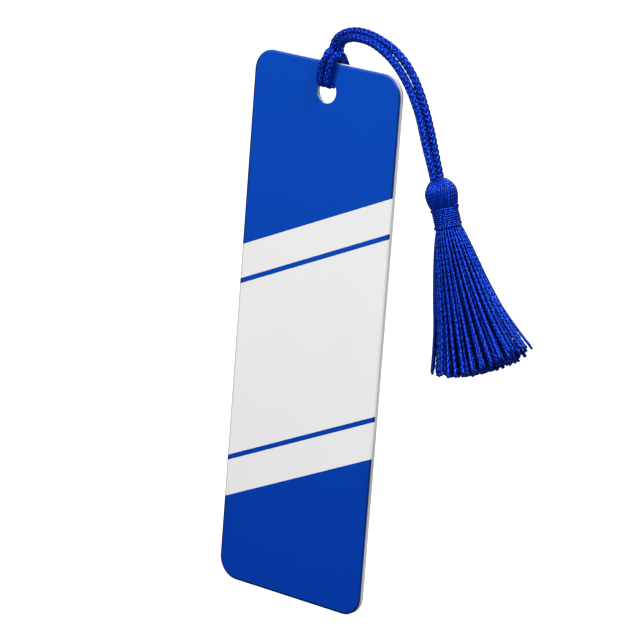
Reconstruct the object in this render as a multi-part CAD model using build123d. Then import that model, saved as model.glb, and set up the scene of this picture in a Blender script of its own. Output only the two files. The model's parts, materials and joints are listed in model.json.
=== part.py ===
from build123d import *
import math
import os

# A tassel bookmark: a laminated card, a cord hitched through its hole, and a yarn tassel.
# The card stands upright, its front face towards -Y. The origin is the middle of its bottom edge.

# Card
card_width = 50.0
card_height = 150.0
core_thickness = 1.1
sheet_thickness = 0.2
corner_radius = 6.0
sheet_edge_round = 0.1
hole_diameter = 6.6
hole_below_top = 8.0

# Cord and its hitch
cord_diameter = 2.3
cord_clearance = 0.12
strand_gap = 0.42
wrap_spread = 0.55
wrap_rise = 1.2
shoulder_gap = 0.95
bight_rise = 0.6
hitch_exit_rise = 2.0
exit_lead = 2.0

# Free cord tails: points from the middle of the hitch's exit, up and over to the tassel
outer_route = [
    (0.1, 0.55, 4.7),
    (3.6, 1.0, 7.0),
    (8.5, 1.1, 7.6),
    (14.4, 1.0, 6.25),
    (20.2, 0.8, 3.8),
    (25.2, 1.0, -0.7),
    (28.9, 1.2, -6.5),
    (32.1, 1.25, -13.3),
    (34.6, 1.3, -20.2),
]
inner_route = [
    (2.9, -0.6, 3.85),
    (5.6, -1.0, 5.3),
    (9.4, -1.1, 5.75),
    (14.0, -1.05, 4.75),
    (18.9, -0.85, 2.4),
    (23.3, -0.95, -1.0),
    (27.5, -1.15, -5.7),
    (30.7, -1.2, -11.3),
    (33.5, -1.15, -18.3),
]
throat_from_exit = (37.2, 0.28, -27.2)
throat_lead = 1.8
bend_share = 0.45
gap_skip = 7.5
gap_samples = 500

# Tassel head, hung from its throat and tilted outwards
tassel_tilt_deg = 21.5
strand_turn_deg = -90.0
head_radius = 4.2
neck_radius = 3.0
head_height = 13.1
throat_clearance = 0.2
throat_strand_gap = 0.15
knot_depth = 2.3
knot_radius = 2.5
knot_height = 4.2
knot_round = 1.6
knot_clearance = 0.3

# Neck binding
thread_diameter = 0.5
thread_clearance = 0.08
thread_gap = 0.43
binding_above_hem = 0.15
thread_bend = 0.6
quarter_turns = 4

# Skirt
skirt_length = 39.3
skirt_half_width = 14.8
skirt_half_depth = 11.4
slice_thickness = 0.5
yarn_root = 0.18
yarn_tip = 0.66
yarn_rings = 10
yarns_per_ring_step = 6
outer_yarn_share = 0.93

overrun = 1.0

card_thickness = core_thickness + 2 * sheet_thickness
cord_radius = cord_diameter / 2
hole_z = card_height - hole_below_top
strand_x = (cord_diameter + strand_gap) / 2
face_y = card_thickness / 2 + cord_clearance + cord_radius
exit_point = Vector(0, face_y, card_height + hitch_exit_rise)
throat = exit_point + Vector(*throat_from_exit)
tassel_place = Location(throat, (0, -tassel_tilt_deg, 0))
hanging = (Plane(tassel_place).z_dir * -1).normalized()
neck_top = head_radius + math.sqrt(head_radius**2 - neck_radius**2)
thread_pitch = thread_diameter + thread_gap
binding_room = head_height - neck_top - binding_above_hem - thread_diameter
binding_turns = math.floor(binding_room / thread_pitch)
binding_below_throat = head_height - binding_above_hem - thread_diameter / 2 - binding_turns * thread_pitch


def card_outline():
    return RectangleRounded(card_width, card_height, corner_radius)


def card_layer(thickness, front_y):
    """A layer of the card from front_y backwards, with the cord hole through it."""
    middle = Plane(origin=(0, front_y, card_height / 2), x_dir=(1, 0, 0), z_dir=(0, 1, 0))
    hole_drop = card_height / 2 - hole_z
    sketch = card_outline() - Pos(0, hole_drop) * Circle(hole_diameter / 2)
    return extrude(middle * sketch, thickness)


def card_sheet(front_y, outer_axis_sign):
    """A printed sheet, its outer edges softened by the die that cut the card."""
    sheet = card_layer(sheet_thickness, front_y)
    outer_face = sheet.faces().sort_by(Axis.Y)[-1 if outer_axis_sign > 0 else 0]
    return fillet(outer_face.outer_wire().edges(), sheet_edge_round)


def bend_radii(points):
    """The largest even bend at each inner point of a route."""
    radii = []
    for before, here, after in zip(points, points[1:], points[2:]):
        turn = (here - before).get_angle(after - here)
        shorter_run = min((here - before).length, (after - here).length)
        radii.append(bend_share * shorter_run / math.tan(math.radians(turn) / 2))
    return radii


def least_gap(path, diameter):
    """The least gap of a tube to itself, between places that are not neighbours along it."""
    places = [path @ (step / gap_samples) for step in range(gap_samples + 1)]
    skip = math.ceil(gap_samples * gap_skip / path.length)
    return min((a - b).length for i, a in enumerate(places) for b in places[i + skip :]) - diameter


def round_tube(name, path, diameter):
    """A tube of one diameter along a path, with its measures printed."""
    tube = sweep(Plane(path @ 0, z_dir=path % 0) * Circle(diameter / 2), path)
    ideal = math.pi * diameter**2 / 4 * path.length
    print(name, "length", round(path.length, 2), "volume share", round(tube.volume / ideal, 4))
    print(name, "least gap to itself", round(least_gap(path, diameter), 3))
    return tube


def cord_tube(name, points):
    """A round cord along straight runs joined by tangent arcs."""
    radii = bend_radii(points)
    print(name, "bend radii", [round(radius, 1) for radius in radii])
    return round_tube(name, FilletPolyline(*points, radius=radii), cord_diameter)


def hitch_points():
    """Lark's head: up the front, over the edge, behind both tails, and back the same way."""
    room_in_hole = hole_diameter / 2 - cord_radius - cord_clearance
    pass_z = hole_z + math.sqrt(room_in_hole**2 - strand_x**2)
    crest_z = card_height + cord_radius + wrap_rise
    bight_z = card_height + bight_rise
    bight_y = face_y + cord_diameter + strand_gap
    crest_x = strand_x + wrap_spread
    shoulder_x = strand_x + cord_diameter + shoulder_gap
    half = [
        Vector(strand_x, face_y, exit_point.Z),
        Vector(strand_x, face_y, pass_z),
        Vector(strand_x, -face_y, pass_z),
        Vector(crest_x, -face_y, crest_z),
        Vector(shoulder_x, face_y, crest_z),
        Vector(shoulder_x, bight_y, bight_z),
    ]
    mirrored = [Vector(-point.X, point.Y, point.Z) for point in half]
    return half + mirrored[::-1]


def tail_points(side, route):
    """One free tail, from its side of the hitch to the knot inside the tassel's head."""
    strand_step = (cord_diameter + throat_strand_gap) / 2
    across = Plane(tassel_place).x_dir.rotate(Axis((0, 0, 0), hanging), strand_turn_deg)
    entry = throat + across * (side * strand_step)
    start = exit_point - Vector(side * strand_x, 0, 0)
    free = [exit_point + Vector(*point) for point in route]
    leads = [start + Vector(0, 0, exit_lead), *free, entry - hanging * throat_lead]
    return [start, *leads, entry + hanging * knot_depth]


def head_profile():
    """Half section of the folded yarn bundle: a round head that runs into a straight neck."""
    side = ThreePointArc((0, 0), (head_radius, -head_radius), (neck_radius, -neck_top))
    neck = Polyline(side @ 1, (neck_radius, -head_height), (0, -head_height), (0, 0))
    return make_face(side + neck)


def knot_profile(radius, top, height, edge_round):
    """Half section of a barrel with rounded edges below its flat top."""
    barrel = Pos(radius / 2, top - height / 2) * Rectangle(radius, height)
    lower_outer = barrel.vertices().group_by(Axis.Y)[0].sort_by(Axis.X)[-1]
    return fillet(lower_outer, edge_round)


def upright(sketch):
    return Plane.XZ * sketch


def thread_end(end, tangent, leaving):
    """A bend off the helix towards the axis, then a straight stretch into the neck."""
    inwards = Vector(-end.X, -end.Y, 0).normalized()
    bend_end = end + tangent * (leaving * thread_bend) + inwards * thread_bend
    return bend_end, bend_end + inwards * thread_diameter, inwards


def binding_point(turns):
    """Place and direction on the thread's helix after some turns."""
    reach = neck_radius + thread_clearance + thread_diameter / 2
    angle = 2 * math.pi * turns
    height = -binding_below_throat - thread_pitch * turns
    place = Vector(reach * math.cos(angle), reach * math.sin(angle), height)
    rise = -thread_pitch / (2 * math.pi)
    tangent = Vector(-reach * math.sin(angle), reach * math.cos(angle), rise).normalized()
    return place, tangent


def biarc(start, start_tangent, end, end_tangent):
    """Two arcs that leave and arrive along the given tangents and share a tangent where they meet."""
    chord = end - start
    both = start_tangent + end_tangent
    spread = 2 * (1 - start_tangent.dot(end_tangent))
    along = chord.dot(both)
    reach = (math.sqrt(along**2 + spread * chord.dot(chord)) - along) / spread
    first_corner = start + start_tangent * reach
    second_corner = end - end_tangent * reach
    joint = (first_corner + second_corner) / 2
    return [
        TangentArc(start, joint, tangent=start_tangent),
        TangentArc(joint, end, tangent=second_corner - first_corner),
    ]


def binding_path():
    """One thread: tucked in, wound round the neck, and tucked in again."""
    steps = binding_turns * quarter_turns
    stations = [binding_point(step / quarter_turns) for step in range(steps + 1)]
    first_place = stations[0][0]
    last_place, last_tangent = stations[-1]
    first_bend, first_tuck, first_in = thread_end(*stations[0], -1)
    last_bend, last_tuck, last_in = thread_end(*stations[-1], 1)
    edges = [Line(first_tuck, first_bend), TangentArc(first_bend, first_place, tangent=-first_in)]
    for here, after in zip(stations, stations[1:]):
        edges += biarc(*here, *after)
    edges += [TangentArc(last_place, last_bend, tangent=last_tangent), Line(last_bend, last_tuck)]
    return Wire(edges)


def tuck_holes():
    """Where the two thread ends go into the neck."""
    bore = thread_diameter / 2 + thread_clearance
    holes = []
    for turns, leaving in ((0, -1), (binding_turns, 1)):
        bend_end, tucked, inwards = thread_end(*binding_point(turns), leaving)
        mouth = Plane(tucked + inwards * thread_clearance, z_dir=-inwards)
        holes.append(extrude(mouth * Circle(bore), thread_diameter + thread_bend))
    return holes


def make_head():
    """The folded yarn bundle, hollow where the knot sits and open at the throat."""
    cavity_radius = knot_radius + knot_clearance
    cavity_height = knot_height + 2 * knot_clearance
    cavity = knot_profile(cavity_radius, knot_clearance - knot_depth, cavity_height, knot_round)
    slot_length = cord_diameter + throat_strand_gap
    slot = SlotCenterToCenter(slot_length, cord_diameter + 2 * throat_clearance)
    throat_cut = extrude(Plane.XY.offset(overrun) * Rot(0, 0, -strand_turn_deg) * slot, -overrun - knot_depth)
    head = revolve(upright(head_profile()), Axis.Z)
    return head - revolve(upright(cavity), Axis.Z) - throat_cut - tuck_holes()


def make_knot():
    return revolve(upright(knot_profile(knot_radius, -knot_depth, knot_height, knot_round)), Axis.Z)


def square_at(middle, width):
    """Corners of a level square, in turn."""
    corner_signs = ((-1, -1), (1, -1), (1, 1), (-1, 1))
    return [middle + Vector(x * width / 2, y * width / 2, 0) for x, y in corner_signs]


def yarn_ends(across_share, along_share):
    """Where one yarn leaves the neck, and where it is cut. Every yarn has the same length."""
    root_reach = neck_radius * outer_yarn_share
    root = Vector(root_reach * across_share, root_reach * along_share, -head_height - slice_thickness)
    splay = Vector(skirt_half_width * across_share - root.X, skirt_half_depth * along_share - root.Y, 0)
    drop = math.sqrt(skirt_length**2 - splay.length**2)
    return root, root + splay - Vector(0, 0, drop)


def yarn_places():
    """Rings of yarns across the bundle, as shares of its reach."""
    places = [(0, 0)]
    for ring in range(1, yarn_rings + 1):
        ring_share = ring / yarn_rings
        count = yarns_per_ring_step * ring
        for step in range(count):
            angle = 2 * math.pi * (step + ring_share) / count
            places.append((ring_share * math.cos(angle), ring_share * math.sin(angle)))
    return places


def make_skirt():
    """Cut yarns on a slice of the bound bundle, fanned out wider than deep, in one closed shell."""
    bundle = extrude(Plane.XY.offset(-head_height) * Circle(neck_radius), -slice_thickness)
    underside, *other_faces = bundle.faces().sort_by(Axis.Z)
    roots = []
    yarn_faces = []
    for place in yarn_places():
        root, tip = yarn_ends(*place)
        upper = square_at(root, yarn_root)
        lower = square_at(tip, yarn_tip)
        roots.append(Wire.make_polygon(upper))
        yarn_faces.append(Face(Wire.make_polygon(lower)))
        for side in range(len(upper)):
            corners = [upper[side - 1], upper[side], lower[side], lower[side - 1]]
            yarn_faces.append(Face(Wire.make_polygon(corners)))
    return Solid(Shell([underside.make_holes(roots), *other_faces, *yarn_faces]))


def main():
    front_y = -card_thickness / 2
    core_y = front_y + sheet_thickness
    back_y = core_y + core_thickness
    parts = {
        "card_core": card_layer(core_thickness, core_y),
        "front_sheet": card_sheet(front_y, -1),
        "back_sheet": card_sheet(back_y, 1),
        "cord_hitch": cord_tube("cord_hitch", hitch_points()),
        "cord_tail_outer": cord_tube("cord_tail_outer", tail_points(1, outer_route)),
        "cord_tail_inner": cord_tube("cord_tail_inner", tail_points(-1, inner_route)),
        "stopper_knot": tassel_place * make_knot(),
        "tassel_head": tassel_place * make_head(),
        "neck_binding": tassel_place * round_tube("neck_binding", binding_path(), thread_diameter),
        "tassel_skirt": tassel_place * make_skirt(),
    }
    os.makedirs("parts", exist_ok=True)
    for node, solid in parts.items():
        export_step(solid, f"parts/{node}.step")


main()
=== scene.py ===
import json
import math
import random

import bmesh
import bpy
from mathutils import Matrix, Quaternion, Vector


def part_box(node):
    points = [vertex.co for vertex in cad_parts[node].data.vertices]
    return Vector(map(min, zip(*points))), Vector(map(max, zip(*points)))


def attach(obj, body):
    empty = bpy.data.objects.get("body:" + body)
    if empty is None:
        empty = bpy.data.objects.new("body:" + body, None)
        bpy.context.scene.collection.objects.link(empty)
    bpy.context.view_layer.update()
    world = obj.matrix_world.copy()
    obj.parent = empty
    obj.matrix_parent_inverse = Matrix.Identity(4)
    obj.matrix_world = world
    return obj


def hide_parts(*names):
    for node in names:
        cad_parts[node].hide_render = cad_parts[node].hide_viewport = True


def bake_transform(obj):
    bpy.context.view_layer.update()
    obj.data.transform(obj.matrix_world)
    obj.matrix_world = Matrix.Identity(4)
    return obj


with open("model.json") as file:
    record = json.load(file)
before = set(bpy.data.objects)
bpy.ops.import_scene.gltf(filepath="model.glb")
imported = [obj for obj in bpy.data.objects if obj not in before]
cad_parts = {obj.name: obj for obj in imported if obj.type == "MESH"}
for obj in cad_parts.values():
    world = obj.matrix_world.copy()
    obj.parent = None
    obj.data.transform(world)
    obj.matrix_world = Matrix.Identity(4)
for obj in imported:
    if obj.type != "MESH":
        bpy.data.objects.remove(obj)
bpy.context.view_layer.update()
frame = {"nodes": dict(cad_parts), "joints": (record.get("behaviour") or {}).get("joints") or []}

print("frame loaded:", len(frame["nodes"]), "nodes")

joints = {joint["name"]: joint for joint in frame["joints"]}
exitPoint = Vector(joints["cord_flop"]["pos_m"])  # where both tails leave the hitch
throat = Vector(joints["tassel_swing"]["pos_m"])  # where they go into the tassel
hanging = Vector(joints["tassel_twist"]["axis"]).normalized()
backward = Vector((0, 1, 0))
sideways = hanging.cross(backward).normalized()
tasselPlace = Matrix((sideways, backward, -hanging)).transposed().to_4x4()
tasselPlace.translation = throat  # the tassel's own axes: Z up its middle, origin at the throat


# node helpers

def addNode(tree, kind, inputs=None, **settings):
    node = tree.nodes.new("ShaderNode" + kind)
    for name, value in settings.items():
        setattr(node, name, value)
    for name, value in (inputs or {}).items():
        if isinstance(value, bpy.types.NodeSocket):
            tree.links.new(value, node.inputs[name])
        else:
            node.inputs[name].default_value = value
    return node


def calc(tree, operation, *values):
    return addNode(tree, "Math", dict(enumerate(values)), operation=operation).outputs[0]


def ease(tree, value, low, high, first=0.0, last=1.0):
    settings = {"Value": value, 1: low, 2: high, 3: first, 4: last}
    return addNode(tree, "MapRange", settings, interpolation_type="SMOOTHSTEP").outputs[0]


def mixColours(tree, share, first, second, way="MIX"):
    mix = addNode(tree, "Mix", {0: share, 6: first, 7: second}, data_type="RGBA", blend_type=way)
    return mix.outputs[2]


def speckle(tree, place, scale, detail=3.0):
    settings = {"Vector": place, "Scale": scale, "Detail": detail}
    return addNode(tree, "TexNoise", settings).outputs["Fac"]


def streaks(tree, place, scales, detail=4.0):
    stretched = addNode(tree, "Mapping", {"Vector": place, "Scale": scales}).outputs[0]
    return speckle(tree, stretched, 1.0, detail)


def spreadNoise(tree, noise, first, last):
    return ease(tree, noise, 0.2, 0.8, first, last)  # noise mostly lies between these two


def greyOf(tree, level):
    return addNode(tree, "CombineColor", {0: level, 1: level, 2: level}).outputs[0]


def newMaterial(name, **finish):
    material = bpy.data.materials.new(name)
    material.use_nodes = True
    shader = material.node_tree.nodes["Principled BSDF"]
    for socket, value in finish.items():
        shader.inputs[socket.replace("_", " ")].default_value = value
    return material, material.node_tree, shader


def joinUp(tree, shader, colour, roughness, height, depth):
    bump = addNode(tree, "Bump", {"Height": height, "Distance": depth, "Strength": 1.0})
    tree.links.new(colour, shader.inputs["Base Color"])
    tree.links.new(roughness, shader.inputs["Roughness"])
    tree.links.new(bump.outputs[0], shader.inputs["Normal"])


# mesh helpers

mergeGap = 1e-6  # vertices closer than this are one


def showPiece(name, mesh, material, body, node):
    mesh.materials.append(material)
    piece = bpy.data.objects.new(name, mesh)
    bpy.context.scene.collection.objects.link(piece)
    if body:
        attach(piece, body)
    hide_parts(node)
    return piece


def meshFrom(name, shape, smooth=True):
    mesh = bpy.data.meshes.new(name)
    shape.to_mesh(mesh)
    shape.free()
    for face in mesh.polygons:
        face.use_smooth = smooth
    return mesh


def curveOf(lines, kind, steps):
    data = bpy.data.curves.new("line", "CURVE")
    data.dimensions = "3D"
    data.resolution_u = steps
    for line in lines:
        spline = data.splines.new(kind)
        spline.points.add(len(line) - 1)
        for point, (place, share) in zip(spline.points, line):
            point.co = (*place, 1)
            point.radius = share
        if kind == "NURBS":
            spline.order_u = 3
            spline.use_endpoint_u = True
    return data


def fullShares(line):
    return [(point, 1.0) for point in line]


def routeLine(points, steps=24):
    data = curveOf([fullShares(points)], "NURBS", steps)
    holder = bpy.data.objects.new("line", data)
    mesh = bpy.data.meshes.new_from_object(holder)
    line = [vertex.co.copy() for vertex in mesh.vertices]
    bpy.data.objects.remove(holder)
    bpy.data.meshes.remove(mesh)
    return line


def lineLength(line):
    return sum((b - a).length for a, b in zip(line, line[1:]))


def evenLine(line, gap):
    count = max(2, round(lineLength(line) / gap))
    step = lineLength(line) / count
    even = [line[0].copy()]
    walked = 0.0
    for a, b in zip(line, line[1:]):
        run = (b - a).length
        while len(even) < count and walked + run >= step * len(even):
            even.append(a.lerp(b, (step * len(even) - walked) / run))
        walked += run
    return even + [line[-1].copy()]


def carriedFrames(line, firstNormal):
    frames = []
    normal = firstNormal
    for index, point in enumerate(line):
        before = line[max(index - 1, 0)]
        after = line[min(index + 1, len(line) - 1)]
        along = (after - before).normalized()
        normal = (normal - along * normal.dot(along)).normalized()
        frames.append((point, normal, along.cross(normal)))
    return frames


def tubeMesh(name, lines, radius, corners, kind="POLY", steps=3, chance=None):
    data = curveOf(lines, kind, steps)
    data.bevel_depth = radius
    data.bevel_resolution = corners  # 0 gives 4 sides, 1 gives 6, 2 gives 8
    data.use_fill_caps = True
    holder = bpy.data.objects.new(name, data)
    mesh = bpy.data.meshes.new_from_object(holder)
    bpy.data.objects.remove(holder)
    if chance:
        tintStrands(mesh, len(lines), chance)
    shape = bmesh.new()
    shape.from_mesh(mesh)
    bmesh.ops.remove_doubles(shape, verts=shape.verts[:], dist=mergeGap)
    bpy.data.meshes.remove(mesh)
    return meshFrom(name, shape)


def tintStrands(mesh, count, chance):
    tints = [chance.random() for strand in range(count)]
    quads = sum(len(face.vertices) == 4 for face in mesh.polygons)
    caps = len(mesh.polygons) - quads
    layer = mesh.attributes.new("tint", "FLOAT", "FACE")
    for face in mesh.polygons:
        if face.index < caps:  # end caps come first, last strand first
            strand = count - 1 - face.index * count // caps
        else:
            strand = (face.index - caps) * count // quads
        layer.data[face.index].value = tints[strand]


# camera

cameraLook = {
    "aim": (0.00386, -0.00075, 0.079634),
    "distance": 1.08219,
    "azimuth": 38.022,
    "elevation": 13.918,
    "roll": 4.389,
    "lens": 225.0,
    "sensor": 36.0,
}


def placeCamera(look):
    turn, rise, roll = (math.radians(look[key]) for key in ("azimuth", "elevation", "roll"))
    toCamera = Vector((
        math.sin(turn) * math.cos(rise),
        -math.cos(turn) * math.cos(rise),
        math.sin(rise),
    ))
    data = bpy.data.cameras.new("camera")
    data.lens = look["lens"]
    data.sensor_width = look["sensor"]
    camera = bpy.data.objects.new("camera", data)
    bpy.context.scene.collection.objects.link(camera)
    camera.location = Vector(look["aim"]) + toCamera * look["distance"]
    camera.rotation_mode = "QUATERNION"
    camera.rotation_quaternion = toCamera.to_track_quat("Z", "Y") @ Quaternion((0, 0, 1), roll)
    bpy.context.scene.camera = camera


placeCamera(cameraLook)
print("camera placed")


# dyed fibre with painted shade in its twist's grooves, shared by the cord, the yarns and the thread

fibreLook = {
    # deep is the dye's dark tone and also the painted shade in the twist's grooves
    "deep": (0.0003, 0.0040, 0.075, 1.0),
    "light": (0.0012, 0.046, 0.590, 1.0),
    "tintLow": 0.70,
    "tintHigh": 1.25,
    "roughLow": 0.24,
    "roughHigh": 0.42,
    "shine": 0.45,
    "gloss": 0.55,
    "shineTint": (0.14, 0.40, 1.0, 1.0),
    "wax": 0.07,  # clear finish that gives the pale glints
    "waxRough": 0.20,
    "fuzz": 0.03,
    "fuzzRough": 0.4,
    "fuzzTint": (0.02, 0.12, 1.0, 1.0),
    "hairScale": 5200.0,
    "hairDetail": 4.0,
    "patchScale": 260.0,
    "patchDetail": 2.0,
    "hairShare": 0.3,  # of the mix between the dye's dark and light tones, beside the painted groove shade
    "grooveShadeShare": 0.7,
    "patchShare": 0.5,  # of the tone, beside the strand's own tint
    "strandShare": 0.5,
    "toneRange": (0.1, 0.9),
    "hairHeight": 0.15,  # against a ridge
}


def fibreMaterial(name, turns, plies, depth, look=fibreLook):
    material, tree, shader = newMaterial(
        name,
        Metallic=look["gloss"],
        Specular_IOR_Level=look["shine"],
        Specular_Tint=look["shineTint"],
        Coat_Weight=look["wax"],
        Coat_Roughness=look["waxRough"],
        Sheen_Weight=look["fuzz"],
        Sheen_Roughness=look["fuzzRough"],
        Sheen_Tint=look["fuzzTint"],
    )
    strand = addNode(tree, "SeparateXYZ", {0: addNode(tree, "UVMap", uv_map="UVMap").outputs[0]})
    along = calc(tree, "MULTIPLY", strand.outputs[0], turns)
    twist = calc(tree, "ADD", along, strand.outputs[1])
    wave = calc(tree, "SINE", calc(tree, "MULTIPLY", twist, 2 * math.pi * plies))
    ridge = calc(tree, "MULTIPLY_ADD", wave, 0.5, 0.5)
    place = addNode(tree, "TexCoord").outputs["Object"]
    hairs = speckle(tree, place, look["hairScale"], look["hairDetail"])
    patch = speckle(tree, place, look["patchScale"], look["patchDetail"])
    tint = addNode(tree, "Attribute", attribute_name="tint").outputs["Fac"]
    # painted shade: the twist's grooves are coloured darker and its ridges lighter
    paintedGrooveShade = calc(tree, "MULTIPLY", ridge, look["grooveShadeShare"])
    share = calc(tree, "MULTIPLY_ADD", hairs, look["hairShare"], paintedGrooveShade)
    dyedAndGrooveShaded = mixColours(tree, share, look["deep"], look["light"])
    strands = calc(tree, "MULTIPLY", tint, look["strandShare"])
    tone = calc(tree, "MULTIPLY_ADD", patch, look["patchShare"], strands)
    level = ease(tree, tone, *look["toneRange"], look["tintLow"], look["tintHigh"])
    colour = mixColours(tree, 1.0, dyedAndGrooveShaded, greyOf(tree, level), "MULTIPLY")
    roughness = spreadNoise(tree, hairs, look["roughLow"], look["roughHigh"])
    height = calc(tree, "MULTIPLY_ADD", hairs, look["hairHeight"], ridge)
    joinUp(tree, shader, colour, roughness, height, depth)
    return material


cordFibre = fibreMaterial("braidedCordFibre", turns=60.0, plies=1, depth=0.00004)
foldedFibre = fibreMaterial("foldedYarnFibre", turns=8.0, plies=2, depth=0.00007)
yarnFibre = fibreMaterial("twistedYarnFibre", turns=18.0, plies=2, depth=0.00005)
threadFibre = fibreMaterial("woundThreadFibre", turns=160.0, plies=1, depth=0.00003)


# braided cord: the hitch on the card and two free tails

cordLook = {
    "diameter": 0.0023,
    "carriers": 6,  # strands each way round
    "lay": 0.0090,  # length of one turn of a strand
    "step": 0.0003,
    "strandRadius": 0.00038,
    "middleRadius": 0.00069,
    "weave": 0.00015,  # how far a strand rises and dips
    "weaveShift": (-0.5, -2.5),  # one way is up where the other is down, over two and under two
    "coreRadius": 0.00066,
    "seed": 11,
}

hitchRoute = (  # from the inner tail down, round both tails and back up to the outer one
    (0.00140, 0.00202, 0.15200), (0.00130, 0.00215, 0.14900), (0.00120, 0.00215, 0.14540),
    (0.00122, 0.00180, 0.14412), (0.00122, 0.00000, 0.14385), (0.00124, -0.00180, 0.14412),
    (0.00134, -0.00220, 0.14540), (0.00175, -0.00220, 0.14840), (0.00255, -0.00220, 0.15090),
    (0.00360, -0.00120, 0.15285), (0.00370, 0.00030, 0.15220), (0.00350, 0.00160, 0.15050),
    (0.00300, 0.00330, 0.14890), (0.00170, 0.00445, 0.14800), (-0.00140, 0.00445, 0.14810),
    (-0.00260, 0.00375, 0.14940), (-0.00280, 0.00200, 0.15120), (-0.00060, 0.00040, 0.15260),
    (0.00110, -0.00120, 0.15330), (0.00000, -0.00220, 0.15100), (-0.00085, -0.00220, 0.14840),
    (-0.00125, -0.00220, 0.14540), (-0.00124, -0.00180, 0.14412), (-0.00122, 0.00000, 0.14385),
    (-0.00122, 0.00180, 0.14412), (-0.00122, 0.00215, 0.14540), (-0.00110, 0.00215, 0.14900),
    (-0.00090, 0.00212, 0.15200),
)

tailRoutes = {  # the free points, measured from the exit
    "outer": (
        (-0.0009, 0.0001, 0.0), (-0.0010, 0.0, 0.0018), (0.0000, 0.0003, 0.0045),
        (0.0034, 0.0009, 0.00665), (0.0085, 0.0011, 0.00715), (0.0144, 0.0010, 0.0060),
        (0.0202, 0.0008, 0.0037), (0.0252, 0.0010, -0.0007), (0.0289, 0.0012, -0.0065),
        (0.0321, 0.00125, -0.0133), (0.0345, 0.0014, -0.0202),
    ),
    "inner": (
        (0.0014, 0.0, 0.0), (0.0014, -0.0001, 0.0018), (0.0025, -0.0006, 0.00395),
        (0.0053, -0.0010, 0.00535), (0.0094, -0.0011, 0.0058), (0.0141, -0.00105, 0.00490),
        (0.01891, -0.00085, 0.0024), (0.02329, -0.00095, -0.00101), (0.02732, -0.00115, -0.00578),
        (0.03055, -0.0012, -0.0113), (0.0332, -0.00125, -0.0183),
    ),
}

tailEnds = {
    "throatLead": 0.0018,
    "knotDepth": 0.0023,
    "strandStep": 0.00132,  # each tail's place to the front or back of the throat's middle
    "entryShift": -0.0003,  # both lie to one side of it
    "flopReach": (0.005, 0.0, 0.003),  # stretch past the exit that bends at the hitch
}


def settledFrames(line):
    frames = carriedFrames(line, backward)
    lastNormal, lastAcross = frames[-1][1:]
    left = math.atan2(backward.dot(lastAcross), backward.dot(lastNormal))  # turn missing at the end
    settled = []
    for index, (point, normal, across) in enumerate(frames):
        turn = left * index / (len(frames) - 1)
        turned = normal * math.cos(turn) + across * math.sin(turn)
        settled.append((point, turned, normal.cross(across).cross(turned)))
    return settled


def braidLines(line, look, lay, settled):
    frames = settledFrames(line) if settled else carriedFrames(line, backward)
    step = lineLength(line) / (len(line) - 1)
    count = look["carriers"]
    lines = []
    for way, shift in zip((1, -1), look["weaveShift"]):
        for carrier in range(count):
            strand = []
            for index, (point, normal, across) in enumerate(frames):
                turn = 2 * math.pi * step * index / lay
                beat = turn * count / math.pi
                angle = 2 * math.pi * carrier / count + way * turn
                phase = 2 * carrier + way * beat + shift
                reach = look["middleRadius"] + look["weave"] * math.cos(math.pi / 2 * phase)
                strand.append(point + (normal * math.cos(angle) + across * math.sin(angle)) * reach)
            lines.append(strand)
    return lines


def braidMesh(name, route, look, settled=False):
    line = evenLine(routeLine(route), look["step"])
    length = lineLength(line)
    lay = length / max(1, round(length / look["lay"]))
    chance = random.Random(look["seed"])
    lines = [fullShares(strand) for strand in braidLines(line, look, lay, settled)]
    mesh = tubeMesh(name, lines, look["strandRadius"], corners=1, chance=chance)
    core = tubeMesh(name, [fullShares(line)], look["coreRadius"], corners=2, chance=chance)
    shape = bmesh.new()
    shape.from_mesh(mesh)
    shape.from_mesh(core)
    return meshFrom(name, shape), line


def tailPoints(side, route, ends):
    entry = throat + backward * (side * ends["strandStep"]) + sideways * ends["entryShift"]
    return [
        *(exitPoint + Vector(point) for point in route),
        entry - hanging * ends["throatLead"],
        entry + hanging * ends["knotDepth"],
    ]


hitchMesh, hitchLine = braidMesh("cordHitch", hitchRoute, cordLook, settled=True)
showPiece("cordHitch", hitchMesh, cordFibre, "card", "cord_hitch")
print("hitch braided: %.1f mm of cord" % (lineLength(hitchLine) * 1000))

for side, key in ((1, "outer"), (-1, "inner")):
    points = tailPoints(side, tailRoutes[key], tailEnds)
    tailMesh, tailLine = braidMesh(key + "CordTail", points, cordLook)
    tail = showPiece(key + "CordTail", tailMesh, cordFibre, None, "cord_tail_" + key)
    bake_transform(tail)


# card: two sheets over the board

cardLook = {
    "hole": 0.0066,
    "holeBelowTop": 0.008,
    "corner": 0.006,
    "cornerSteps": 9,
    "roll": ((0.00004, 0.00006), (0.00008, 0.00004), (0.00014, 0.00003)),  # inward, up
}


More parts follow.
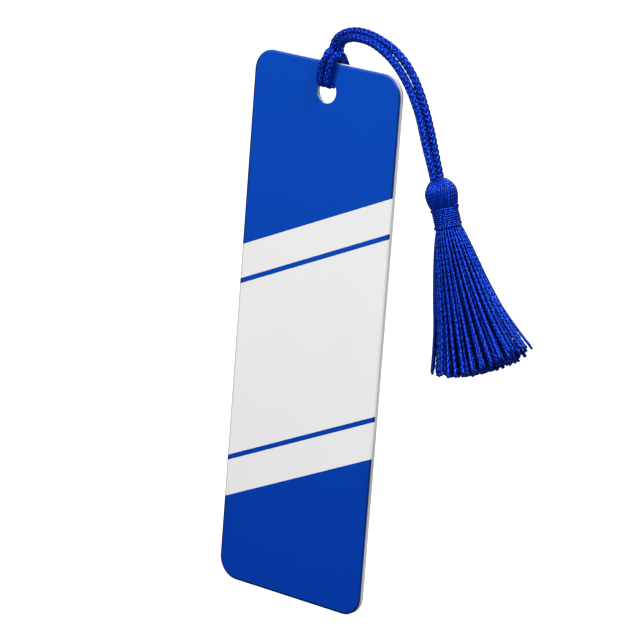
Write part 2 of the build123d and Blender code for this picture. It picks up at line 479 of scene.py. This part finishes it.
def sheetMesh(name, node, face, look):
    low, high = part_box(node)
    size = high - low
    rolled = sum(up for inward, up in look["roll"])
    shape = bmesh.new()
    upright = Matrix.Rotation(math.pi / 2, 4, "X")
    middle = Matrix.Translation((0, 0, (low.z + high.z) / 2))
    bmesh.ops.create_grid(
        shape,
        x_segments=1,
        y_segments=1,
        size=0.5,
        matrix=middle @ upright @ Matrix.Diagonal((size.x, size.z, 1, 1)),
    )
    bmesh.ops.bevel(
        shape,
        geom=shape.verts[:],
        offset=look["corner"],
        segments=look["cornerSteps"],
        profile=0.5,
        affect="VERTICES",
        material=-1,
    )
    bmesh.ops.delete(shape, geom=shape.faces[:], context="FACES_ONLY")
    holePlace = Matrix.Translation((0, 0, high.z - look["holeBelowTop"]))
    bmesh.ops.create_circle(
        shape,
        radius=look["hole"] / 2,
        segments=4 * (look["cornerSteps"] + 1),
        matrix=holePlace @ upright,
    )
    sheet = bmesh.ops.bridge_loops(shape, edges=shape.edges[:])["faces"]
    inner = low.y if face > 0 else high.y
    bmesh.ops.translate(shape, verts=shape.verts[:], vec=(0, inner, 0))
    raised = bmesh.ops.extrude_face_region(shape, geom=sheet)["geom"]
    top = [item for item in raised if isinstance(item, bmesh.types.BMFace)]
    lift = face * (size.y - rolled)
    topVerts = [item for item in raised if isinstance(item, bmesh.types.BMVert)]
    bmesh.ops.translate(shape, verts=topVerts, vec=(0, lift, 0))
    bmesh.ops.recalc_face_normals(shape, faces=shape.faces[:])
    for inward, up in look["roll"]:
        bmesh.ops.inset_region(
            shape,
            faces=top,
            thickness=inward,
            depth=up,
            use_boundary=True,
            use_even_offset=True,
        )
    bmesh.ops.recalc_face_normals(shape, faces=shape.faces[:])
    return meshFrom(name, shape, smooth=False)


printLook = {
    "blue": (0.0017, 0.0555, 0.401, 1.0),
    "shadedLowBlue": (0.0004, 0.0368, 0.334, 1.0),  # painted shade: the blue darkened towards the bottom, where less light falls
    "pale": (0.728, 0.728, 0.728, 1.0),
    "slope": 0.45,  # how steeply the bands climb across the card
    "bands": (  # height where each band starts, on the middle line
        (0.0000, "blue"), (0.0340, "pale"), (0.0440, "blue"), (0.0456, "pale"),
        (0.0944, "blue"), (0.0960, "pale"), (0.1060, "blue"),
    ),
    "rampLow": -0.02,
    "rampHigh": 0.17,
    "lowShadeSpan": (0.0, 0.15),  # heights over which the painted shade at the bottom gives way to the plain blue
    # a lighter blue along all edges, partly worn ink and partly a painted highlight
    "wearAndHighlight": (0.30, 0.45, 0.80, 1.0),
    "wearAndHighlightWidth": 0.0004,
    "wearAndHighlightShare": 0.10,
    "wearAndHighlightScale": 900.0,
    "rollWidth": 0.0006,  # the cut edge rolls over
    "rollDrop": 60.0,  # in depths of the paper's grain
    "sleekWidth": (0.0006, 0.0003),  # from faint to full
    "gleam": (0.04, 0.60),  # flat print, rolled edge
    "gleamFrom": (0.1455, 0.1485),  # the edge gleams at the top only
    "sideEdgeShade": (0.0003, 0.0120, 0.095, 1.0),  # painted shade: dark blue along the side edges, where the rolled edge turns away from the light
    "sideEdgeShadeWidth": (0.0007, 0.0007 / 3),
}

paperLook = {
    "grain": (900.0, 900.0, 500.0),
    "cloudScale": 60.0,
    "cloudDetail": 2.0,
    "cloudShade": (0.99, 1.01),
    "rough": (0.50, 0.66),
    "sleekRough": -0.26,  # added on a sleek edge
    "depth": 0.000006,
}


def borderDistance(tree, place, node, corner):
    low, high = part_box(node)
    axes = addNode(tree, "SeparateXYZ", {0: place})
    reach = []
    for axis, socket in ((0, axes.outputs[0]), (2, axes.outputs[2])):
        middle = (low[axis] + high[axis]) / 2
        straight = (high[axis] - low[axis]) / 2 - corner
        offset = calc(tree, "ABSOLUTE", calc(tree, "SUBTRACT", socket, middle))
        reach.append(calc(tree, "MAXIMUM", calc(tree, "SUBTRACT", offset, straight), 0.0))
    squares = [calc(tree, "MULTIPLY", value, value) for value in reach]
    return calc(tree, "SUBTRACT", corner, calc(tree, "SQRT", calc(tree, "ADD", *squares)))


def paperFinish(tree, shader, place, colour, rolled=0.0, sleek=0.0, look=paperLook):
    fibre = streaks(tree, place, look["grain"])
    cloud = speckle(tree, place, look["cloudScale"], look["cloudDetail"])
    shade = spreadNoise(tree, cloud, *look["cloudShade"])
    toned = mixColours(tree, 1.0, colour, greyOf(tree, shade), "MULTIPLY")
    plain = spreadNoise(tree, fibre, *look["rough"])
    roughness = calc(tree, "MULTIPLY_ADD", sleek, look["sleekRough"], plain)
    joinUp(tree, shader, toned, roughness, calc(tree, "ADD", fibre, rolled), look["depth"])


def bandMaterial(look):
    material, tree, shader = newMaterial("bandedPrint")
    place = addNode(tree, "TexCoord").outputs["Object"]
    axes = addNode(tree, "SeparateXYZ", {0: place})
    slant = calc(tree, "MULTIPLY_ADD", axes.outputs[0], -look["slope"], axes.outputs[2])
    span = look["rampHigh"] - look["rampLow"]
    share = calc(tree, "DIVIDE", calc(tree, "SUBTRACT", slant, look["rampLow"]), span)
    ramp = addNode(tree, "ValToRGB", {0: share})
    ramp.color_ramp.interpolation = "CONSTANT"
    stops = ramp.color_ramp.elements
    shades = {"blue": (0.0, 0.0, 0.0, 1.0), "pale": (1.0, 1.0, 1.0, 1.0)}
    stops[0].color = shades["blue"]
    stops.remove(stops[1])
    for height, ink in look["bands"][1:]:
        stops.new((height - look["rampLow"]) / span).color = shades[ink]
    # painted shade: the blue is darkened towards the bottom of the card
    unshadedShare = ease(tree, axes.outputs[2], *look["lowShadeSpan"])
    ink = mixColours(tree, unshadedShare, look["shadedLowBlue"], look["blue"])
    edge = borderDistance(tree, place, "front_sheet", cardLook["corner"])
    high = ease(tree, axes.outputs[2], *look["gleamFrom"])
    low = calc(tree, "SUBTRACT", 1.0, high)
    # painted shade along the side edges, left off at the top edge
    sideEdgeShade = calc(tree, "MULTIPLY", ease(tree, edge, *look["sideEdgeShadeWidth"]), low)
    ink = mixColours(tree, sideEdgeShade, ink, look["sideEdgeShade"])
    printed = mixColours(tree, ramp.outputs[0], ink, look["pale"])
    # edge lightening: partly worn ink, partly a painted highlight
    wearAndHighlightNoise = speckle(tree, place, look["wearAndHighlightScale"])
    wornAndHighlit = calc(tree, "MULTIPLY", ease(tree, edge, look["wearAndHighlightWidth"], 0.0), wearAndHighlightNoise)
    wornAndHighlit = calc(tree, "MULTIPLY", wornAndHighlit, look["wearAndHighlightShare"])
    rolled = ease(tree, edge, 0.0, look["rollWidth"], -look["rollDrop"], 0.0)
    sleek = calc(tree, "MULTIPLY", ease(tree, edge, *look["sleekWidth"]), high)
    tree.links.new(ease(tree, sleek, 0.0, 1.0, *look["gleam"]), shader.inputs["Specular IOR Level"])
    paperFinish(tree, shader, place, mixColours(tree, wornAndHighlit, printed, look["wearAndHighlight"]), rolled, sleek)
    return material


backLook = {
    "pale": (0.84, 0.84, 0.84, 1.0),
    "warm": (0.84, 0.8274, 0.8064, 1.0),
    "fleckScale": 2400.0,
    "fleckDetail": 2.0,
    "shine": 0.2,
}


def paleMaterial(look):
    material, tree, shader = newMaterial("paleBackSheet", Specular_IOR_Level=look["shine"])
    place = addNode(tree, "TexCoord").outputs["Object"]
    flecks = speckle(tree, place, look["fleckScale"], look["fleckDetail"])
    paperFinish(tree, shader, place, mixColours(tree, flecks, look["pale"], look["warm"]))
    return material


boardLook = {
    "light": (0.64, 0.64, 0.66, 1.0),
    "dark": (0.46, 0.46, 0.49, 1.0),
    "plies": 5200.0,  # paper plies across the thickness
    "wanderScale": 700.0,
    "wander": 2.0,  # how far the plies waver
    "fibres": (2500.0, 9000.0, 2500.0),
    "plyShare": 0.4,  # of the shade, beside the fibres
    "fibreShare": 0.6,
    "rough": (0.7, 0.95),
    "shine": 0.15,
    "depth": 0.00003,
}


def boardMaterial(look):
    material, tree, shader = newMaterial("plainCutBoard", Specular_IOR_Level=look["shine"])
    place = addNode(tree, "TexCoord").outputs["Object"]
    axes = addNode(tree, "SeparateXYZ", {0: place})
    wander = calc(tree, "MULTIPLY", speckle(tree, place, look["wanderScale"]), look["wander"])
    wave = calc(tree, "SINE", calc(tree, "MULTIPLY_ADD", axes.outputs[1], look["plies"], wander))
    ply = calc(tree, "MULTIPLY_ADD", wave, 0.5, 0.5)
    fibre = streaks(tree, place, look["fibres"])
    fibres = calc(tree, "MULTIPLY", fibre, look["fibreShare"])
    share = calc(tree, "MULTIPLY_ADD", ply, look["plyShare"], fibres)
    colour = mixColours(tree, share, look["dark"], look["light"])
    joinUp(tree, shader, colour, spreadNoise(tree, fibre, *look["rough"]), share, look["depth"])
    return material


showPiece(
    "printedFrontSheet", sheetMesh("printedFrontSheet", "front_sheet", -1, cardLook),
    bandMaterial(printLook), "card", "front_sheet",
)
showPiece(
    "paleBackSheet", sheetMesh("paleBackSheet", "back_sheet", 1, cardLook),
    paleMaterial(backLook), "card", "back_sheet",
)
board = frame["nodes"]["card_core"]
board.data.materials.clear()
board.data.materials.append(boardMaterial(boardLook))
print("card sheets laid on the board")


# knot that holds the tassel on the cord, hidden in the head

knotLook = {
    "middle": -0.0044,  # below the throat
    "size": 0.00048,
    "height": 0.0009,
    "radius": 0.00085,
    "points": 24,
    "overlap": 2,  # points that the end runs on past the start
    "lineSteps": 8,
    "step": 0.0004,
}


def knotMesh(name, look):
    points = []
    for index in range(look["points"] + look["overlap"]):
        turn = 2 * math.pi * index / look["points"]
        place = Vector((  # a trefoil knot
            (math.sin(turn) + 2 * math.sin(2 * turn)) * look["size"],
            (math.cos(turn) - 2 * math.cos(2 * turn)) * look["size"],
            look["middle"] - math.sin(3 * turn) * look["height"],
        ))
        points.append(tasselPlace @ place)
    line = evenLine(routeLine(points, look["lineSteps"]), look["step"])
    return tubeMesh(name, [fullShares(line)], look["radius"], corners=2)


showPiece("stopperKnot", knotMesh("stopperKnot", knotLook), cordFibre, "knot", "stopper_knot")
print("stopper knot tied")


# tassel head: yarns folded over the knot, gathered into the neck

headLook = {
    "yarns": 46,
    "yarnRadius": 0.00029,
    "outline": (  # reach from the middle line and height, down one yarn
        (0.0009, 0.0000), (0.0017, -0.00025), (0.0029, -0.0012), (0.00405, -0.0030),
        (0.00405, -0.0052), (0.00365, -0.0071), (0.0030, -0.0080), (0.0029, -0.0100), (0.0029, -0.0131),
    ),
    "swirl": 40.0,  # degrees that a yarn leans round between the top and the neck
    "jitter": 0.00012,
    "uneven": 0.2,  # share of the spacing that a yarn may stray round
    "lineSteps": 6,
    "fill": 0.00028,  # the padding lies this far under the yarns
    "fillLeast": 0.0002,
    "fillLineSteps": 4,
    "fillSteps": 48,
    "seed": 5,
}


def headYarns(look):
    chance = random.Random(look["seed"])
    count = len(look["outline"])
    lines = []
    for yarn in range(look["yarns"]):
        start = 2 * math.pi * (yarn + chance.uniform(-look["uneven"], look["uneven"])) / look["yarns"]
        line = []
        for index, (reach, height) in enumerate(look["outline"]):
            lean = math.radians(look["swirl"]) * (1 - index / (count - 1)) ** 2
            spread = reach + chance.uniform(-1, 1) * look["jitter"]
            angle = start + lean
            place = Vector((spread * math.cos(angle), spread * math.sin(angle), height))
            line.append((tasselPlace @ place, 1.0))
        lines.append(line)
    return tubeMesh(
        "tasselHead", lines, look["yarnRadius"],
        corners=1, kind="NURBS", steps=look["lineSteps"], chance=chance,
    )


def headFilling(look):
    profile = routeLine([(reach, 0, height) for reach, height in look["outline"]], look["fillLineSteps"])
    shape = bmesh.new()
    ring = []
    for point in profile:
        ring.append(shape.verts.new((max(point.x - look["fill"], look["fillLeast"]), 0, point.z)))
    edges = [shape.edges.new(pair) for pair in zip(ring, ring[1:])]
    bmesh.ops.spin(
        shape,
        geom=ring + edges,
        cent=(0, 0, 0),
        axis=(0, 0, 1),
        angle=2 * math.pi,
        steps=look["fillSteps"],
        use_merge=True,
    )
    bmesh.ops.remove_doubles(shape, verts=shape.verts[:], dist=mergeGap)
    bmesh.ops.holes_fill(shape, edges=shape.edges[:], sides=0)
    bmesh.ops.recalc_face_normals(shape, faces=shape.faces[:])
    bmesh.ops.transform(shape, matrix=tasselPlace, verts=shape.verts[:])
    return shape


headShape = headFilling(headLook)
headShape.from_mesh(headYarns(headLook))
showPiece(
    "tasselHead", meshFrom("tasselHead", headShape), foldedFibre, "tassel", "tassel_head",
)
print("tassel head folded")


# binding: thread wound round the neck

bindingLook = {
    "turns": 9,
    "top": -0.0078,
    "bottom": -0.0130,
    "reach": 0.00350,
    "raised": 0.00020,  # first and last turns stand proud
    "raisedTurns": 1.2,
    "thicker": 0.50,
    "thickTurns": 1.4,
    "jitter": 0.00004,
    "plyRadius": 0.00022,
    "plyOffset": 0.00010,
    "plyPitch": 0.0019,
    "pointsPerTurn": 12,
    "lineSteps": 6,
    "step": 0.00016,
    "seed": 3,
}


def bindingMesh(name, look):
    chance = random.Random(look["seed"])
    count = look["turns"] * look["pointsPerTurn"]
    points = []
    for index in range(count + 1):
        share = index / count
        turn = 2 * math.pi * look["turns"] * share
        end = min(share, 1 - share) * look["turns"]
        reach = look["reach"] + look["raised"] * max(0.0, 1 - end / look["raisedTurns"])
        reach += chance.uniform(-1, 1) * look["jitter"]
        height = look["top"] + (look["bottom"] - look["top"]) * share
        points.append(tasselPlace @ Vector((reach * math.cos(turn), reach * math.sin(turn), height)))
    line = evenLine(routeLine(points, look["lineSteps"]), look["step"])
    step = lineLength(line) / (len(line) - 1)
    plies = []
    for ply in (0, 1):
        strand = []
        for index, (point, normal, across) in enumerate(carriedFrames(line, -hanging)):
            turn = 2 * math.pi * (index * step / look["plyPitch"] + ply / 2)
            offset = normal * math.cos(turn) + across * math.sin(turn)
            end = min(index, len(line) - 1 - index) / (len(line) - 1) * look["turns"]
            girth = 1 + look["thicker"] * min(max(0.0, look["thickTurns"] - end), 1.0)
            strand.append((point + offset * look["plyOffset"] * girth, girth))
        plies.append(strand)
    return tubeMesh(name, plies, look["plyRadius"], corners=1, chance=chance)


showPiece(
    "neckBinding", bindingMesh("neckBinding", bindingLook), threadFibre, "tassel",
    "neck_binding",
)
print("neck bound")


# skirt: cut yarns hanging from the neck, twisted two by two into ropes

skirtLook = {
    "rings": ((31, 1.0), (34, 0.84)),  # ropes side by side and their reach
    "inner": 100,  # ropes that fill the middle
    "innerReach": 0.75,
    "ropeYarns": 2,
    "top": -0.0120,
    "hem": -0.0132,
    "rootReach": 0.0029,
    "hemReach": 0.0033,
    "length": 0.0394,
    "halfWidth": 0.0144,
    "halfDepth": 0.0112,
    "flare": ((0.12, 0.13), (0.45, 0.39), (0.75, 0.66), (1.0, 1.0)),  # down and out, as shares
    "sway": 0.0009,  # the hem hangs this far to the outer side
    "swayCurve": (1.7, -0.7),  # shares of the square and of the straight rise
    "trim": 0.0026,  # the outermost yarns are cut this much higher
    "trimLean": 0.3,  # and more so on the outer side
    "yarnRadius": 0.00038,
    "ropeReach": 0.00012,
    "ropePitch": 0.0034,
    "ropeStep": 0.00058,
    "rootShare": 0.52,  # ropes are squeezed thin in the neck
    "fullAt": 0.55,  # share of the length where they have their full girth
    "lineSteps": 6,
    "fray": 0.3,  # how much the yarns part at the cut
    "frayFrom": 0.85,
    "fraySpan": 0.15,
    "lean": 0.035,
    "tipLeast": 0.95,  # least share of its reach that a tip has
    "ragged": 0.0004,
    "wander": 0.0003,
    "strays": (  # bearing in degrees, reach and bow of the loose outer yarns
        (28.0, 1.02, -0.04), (36.0, 1.05, -0.04), (198.0, 0.99, 0.04), (206.0, 1.01, 0.04),
        (214.0, 1.0, 0.04), (150.0, 1.02, 0.0), (290.0, 1.02, 0.0),
    ),
    "parting": 0.05,  # the ropes beside a loose yarn stand back from it
    "partingSpan": 0.40,
    "seed": 21,
}


def skirtLine(root, tip, drop, bow, look, chance):
    points = [root * (look["rootReach"] / look["hemReach"]) + Vector((0, 0, look["top"]))]
    points.append(root + Vector((0, 0, look["hem"])))
    square, straight = look["swayCurve"]
    for down, out in look["flare"]:
        loose = look["wander"] * math.sin(math.pi * down)
        place = root.lerp(tip, out + bow * math.sin(math.pi * down))
        sway = look["sway"] * (square * down ** 2 + straight * down)
        place.x += chance.uniform(-1, 1) * loose + sway
        place.y += chance.uniform(-1, 1) * loose
        place.z = look["hem"] - drop * down
        points.append(place)
    placed = [tasselPlace @ place for place in points]
    return evenLine(routeLine(placed, look["lineSteps"]), look["ropeStep"])


def ropeLines(line, yarns, start, look):
    frames = carriedFrames(line, backward)
    step = lineLength(line) / (len(line) - 1)
    strands = []
    for yarn in range(yarns):
        strand = []
        for index, (point, normal, across) in enumerate(frames):
            share = index / (len(line) - 1)
            girth = look["rootShare"] + (1 - look["rootShare"]) * min(1.0, share / look["fullAt"])
            spread = 1 + look["fray"] * max(0.0, (share - look["frayFrom"]) / look["fraySpan"])
            apart = look["ropeReach"] * girth * spread if yarns > 1 else 0.0
            turn = start + 2 * math.pi * (yarn / yarns + index * step / look["ropePitch"])
            offset = normal * math.cos(turn) + across * math.sin(turn)
            strand.append((point + offset * apart, girth))
        strands.append(strand)
    return strands


def partingShare(angle, look):
    gaps = []
    for stray in look["strays"]:
        gaps.append(abs(math.remainder(angle - math.radians(stray[0]), 2 * math.pi)))
    near = min(gaps) / look["partingSpan"]
    return 1 - look["parting"] * max(0.0, 1 - near ** 2)


def skirtMesh(name, look):
    chance = random.Random(look["seed"])
    golden = math.pi * (3 - math.sqrt(5))  # the golden angle spreads the inner ropes evenly
    places = []
    for ring, (count, reach) in enumerate(look["rings"]):
        places += [(2 * math.pi * (rope + ring / 2) / count, reach) for rope in range(count)]
    for rope in range(look["inner"]):
        places.append((rope * golden, look["innerReach"] * math.sqrt((rope + 0.5) / look["inner"])))
    ropes = []
    for angle, share in places:
        tipAngle = angle + chance.uniform(-1, 1) * look["lean"]
        tipShare = share * chance.uniform(look["tipLeast"], 1.0)
        tipShare *= partingShare(angle, look)
        ropes.append((angle, share, tipAngle, tipShare, 0.0, look["ropeYarns"]))
    for degrees, reach, bow in look["strays"]:
        angle = math.radians(degrees)
        ropes.append((angle, 1.0, angle, reach, bow, 1))
    lines = []
    for angle, share, tipAngle, tipShare, bow, yarns in ropes:
        root = Vector((math.cos(angle), math.sin(angle), 0)) * (look["hemReach"] * share)
        aside = tipShare * math.cos(tipAngle)
        tip = Vector((look["halfWidth"] * aside, look["halfDepth"] * tipShare * math.sin(tipAngle), 0))
        drop = math.sqrt(look["length"] ** 2 - (tip - root).length ** 2)
        trimmed = look["trim"] * aside ** 2 * (1 + look["trimLean"] * aside)
        drop += chance.uniform(-1, 1) * look["ragged"] - trimmed
        line = skirtLine(root, tip, drop, bow, look, chance)
        lines += ropeLines(line, yarns, chance.uniform(0, 2 * math.pi), look)
    return tubeMesh(name, lines, look["yarnRadius"], corners=0, chance=chance)


skirt = showPiece(
    "tasselSkirt", skirtMesh("tasselSkirt", skirtLook), yarnFibre, "tassel", "tassel_skirt",
)
print("skirt hung:", len(skirt.data.polygons), "faces")


# floor, lights and backdrop

studioLook = {
    "floorSize": 6.0,
    "floorTones": ((0.40, 0.40, 0.40, 1.0), (0.42, 0.42, 0.42, 1.0)),
    "floorGrain": 400.0,
    "floorRough": (0.6, 0.7),
    "floorDepth": 0.00001,
    "floorGlow": 0.80,
    "white": (1.0, 1.0, 1.0, 1.0),
    "ambient": 0.25,
    "backdrop": 1.0,
    "lights": {
        "frontSoftbox": {"at": (-0.25, -1.05, 1.10), "size": 0.28, "power": 13.5},
        "frontSpot": {"at": (0.12, -1.05, 0.65), "size": 0.06, "power": 4.6},
        "sideSpot": {"at": (1.00, -0.40, 0.70), "size": 0.06, "power": 1.6},
        "topSpot": {"at": (0.75, -0.22, 1.12), "size": 0.12, "power": 11.0},
        "keyLight": {"at": (0.62, 0.46, 1.10), "size": 0.10, "power": 4.0},
        "backFill": {"at": (-0.30, 1.20, 0.80), "size": 0.60, "power": 6.0},
    },
    "lightAim": (0.01, 0.0, 0.09),
}


def floorMaterial(look):
    material, tree, shader = newMaterial(
        "paleFloor",
        Specular_IOR_Level=0.0,
        Emission_Color=look["white"],
        Emission_Strength=look["floorGlow"],
    )
    place = addNode(tree, "TexCoord").outputs["Object"]
    grain = speckle(tree, place, look["floorGrain"])
    colour = mixColours(tree, grain, *look["floorTones"])
    roughness = spreadNoise(tree, grain, *look["floorRough"])
    joinUp(tree, shader, colour, roughness, grain, look["floorDepth"])
    return material


def layFloor(look):
    shape = bmesh.new()
    bmesh.ops.create_grid(shape, x_segments=1, y_segments=1, size=look["floorSize"] / 2)
    mesh = meshFrom("floor", shape, smooth=False)
    mesh.materials.append(floorMaterial(look))
    floor = bpy.data.objects.new("floor", mesh)
    bpy.context.scene.collection.objects.link(floor)
    floor.visible_diffuse = False  # the bright floor does not light the card
    floor.visible_glossy = False


def hangLights(look):
    for name, light in look["lights"].items():
        data = bpy.data.lights.new(name, "AREA")
        data.energy = light["power"]
        data.size = light["size"]
        lamp = bpy.data.objects.new(name, data)
        bpy.context.scene.collection.objects.link(lamp)
        lamp.location = light["at"]
        toLamp = Vector(light["at"]) - Vector(look["lightAim"])
        lamp.rotation_euler = toLamp.to_track_quat("Z", "Y").to_euler()


def paintBackdrop(look):
    world = bpy.data.worlds.new("studio")
    bpy.context.scene.world = world
    world.use_nodes = True
    tree = world.node_tree
    seen = addNode(tree, "LightPath").outputs["Is Camera Ray"]
    strength = calc(tree, "MULTIPLY_ADD", seen, look["backdrop"] - look["ambient"], look["ambient"])
    background = tree.nodes["Background"]
    background.inputs["Color"].default_value = look["white"]
    tree.links.new(strength, background.inputs["Strength"])


layFloor(studioLook)
hangLights(studioLook)
paintBackdrop(studioLook)
bpy.context.scene.view_settings.view_transform = "Standard"
print("studio lit")
